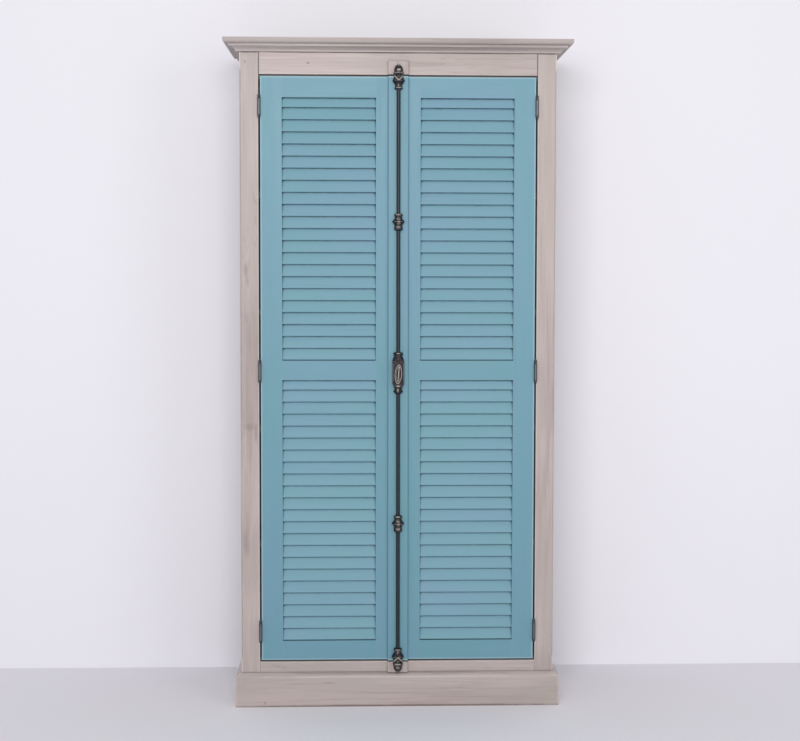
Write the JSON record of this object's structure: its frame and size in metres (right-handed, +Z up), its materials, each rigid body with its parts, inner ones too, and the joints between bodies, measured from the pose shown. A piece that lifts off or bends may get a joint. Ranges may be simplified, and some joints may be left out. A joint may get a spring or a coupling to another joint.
{
  "type": "louvred door cabinet",
  "caption": "Upright whitewashed cupboard with teal louvred doors inside a face frame, a crown and plinth, and a cremone bolt on the cover strip.",
  "frame": {"origin": "on the floor plane, half way across the width and half way through the overall depth", "axes": "+Z up, -Y towards the front of the cabinet, +X to the right as seen from the front"},
  "size_m": [1.086, 0.409, 2.1],
  "materials": {
    "whitewashed_pine": "whitewashed pine, matte, faint grain",
    "teal_paint": "matte dusty teal paint",
    "antique_bronze": "antique bronze casting, worn on the high points",
    "dark_steel": "blackened steel, satin"
  },
  "bodies": {
    "carcase": {"side_left": "whitewashed_pine", "side_right": "whitewashed_pine", "bottom_panel": "whitewashed_pine", "top_panel": "whitewashed_pine", "back_boards": "whitewashed_pine", "back_bearer": "whitewashed_pine", "shelf_1": "whitewashed_pine", "shelf_2": "whitewashed_pine", "shelf_3": "whitewashed_pine", "shelf_4": "whitewashed_pine", "frame_stile_left": "whitewashed_pine", "frame_stile_right": "whitewashed_pine", "frame_rail_top": "whitewashed_pine", "frame_rail_bottom": "whitewashed_pine", "plinth_front": "whitewashed_pine", "plinth_left": "whitewashed_pine", "plinth_right": "whitewashed_pine", "crown_board": "whitewashed_pine", "crown_mould_front": "whitewashed_pine", "crown_mould_left": "whitewashed_pine", "crown_mould_right": "whitewashed_pine", "keeper_block_top": "whitewashed_pine", "keeper_block_bottom": "whitewashed_pine", "keeper_top": "antique_bronze", "keeper_bottom": "antique_bronze", "hinge_frame_leaves": "antique_bronze", "shelf_pegs": "dark_steel", "hinge_pins": "dark_steel", "hinge_frame_screws": "dark_steel"},
    "left_door": {"left_stile_outer": "teal_paint", "left_stile_inner": "teal_paint", "left_rail_top": "teal_paint", "left_rail_mid": "teal_paint", "left_rail_bottom": "teal_paint", "left_slats_upper": "teal_paint", "left_slats_lower": "teal_paint", "left_hinge_leaves": "antique_bronze", "left_hinge_screws": "dark_steel"},
    "right_door": {"right_stile_outer": "teal_paint", "right_stile_inner": "teal_paint", "right_rail_top": "teal_paint", "right_rail_mid": "teal_paint", "right_rail_bottom": "teal_paint", "right_slats_upper": "teal_paint", "right_slats_lower": "teal_paint", "right_hinge_leaves": "antique_bronze", "right_hinge_screws": "dark_steel", "cover_strip": "teal_paint", "guide_top": "antique_bronze", "guide_bottom": "antique_bronze", "knuckle_guides": "antique_bronze", "gear_case": "antique_bronze", "gear_case_screws": "dark_steel"},
    "knob": {"knob": "antique_bronze", "spindle": "dark_steel", "pinion": "dark_steel"},
    "upper_rod": {"upper_rod": "dark_steel"},
    "lower_rod": {"lower_rod": "dark_steel"}
  },
  "joints": [
    {"name": "right_door_hinge", "type": "hinge", "parent": "carcase", "child": "right_door", "pos_m": [0.434, -0.152, 1.066], "axis": [0, 0, 1], "range_deg": [0, 110]},
    {"name": "left_door_hinge", "type": "hinge", "parent": "carcase", "child": "left_door", "pos_m": [-0.434, -0.152, 1.066], "axis": [0, 0, -1], "range_deg": [0, 110]},
    {"name": "knob_turn", "type": "hinge", "parent": "right_door", "child": "knob", "pos_m": [0, -0.1675, 1.06], "axis": [0, 1, 0], "range_deg": [0, 180]},
    {"name": "upper_rod_slide", "type": "slide", "parent": "right_door", "child": "upper_rod", "axis": [0, 0, 1], "range_m": [0, 0.02199]},
    {"name": "lower_rod_slide", "type": "slide", "parent": "right_door", "child": "lower_rod", "axis": [0, 0, -1], "range_m": [0, 0.02199]}
  ],
  "couplings": [
    {"joint": "left_door_hinge", "follows": "right_door_hinge", "ratio": 1},
    {"joint": "knob_turn", "follows": "upper_rod_slide", "rad_per_m": 142.86},
    {"joint": "lower_rod_slide", "follows": "upper_rod_slide", "ratio": 1}
  ]
}
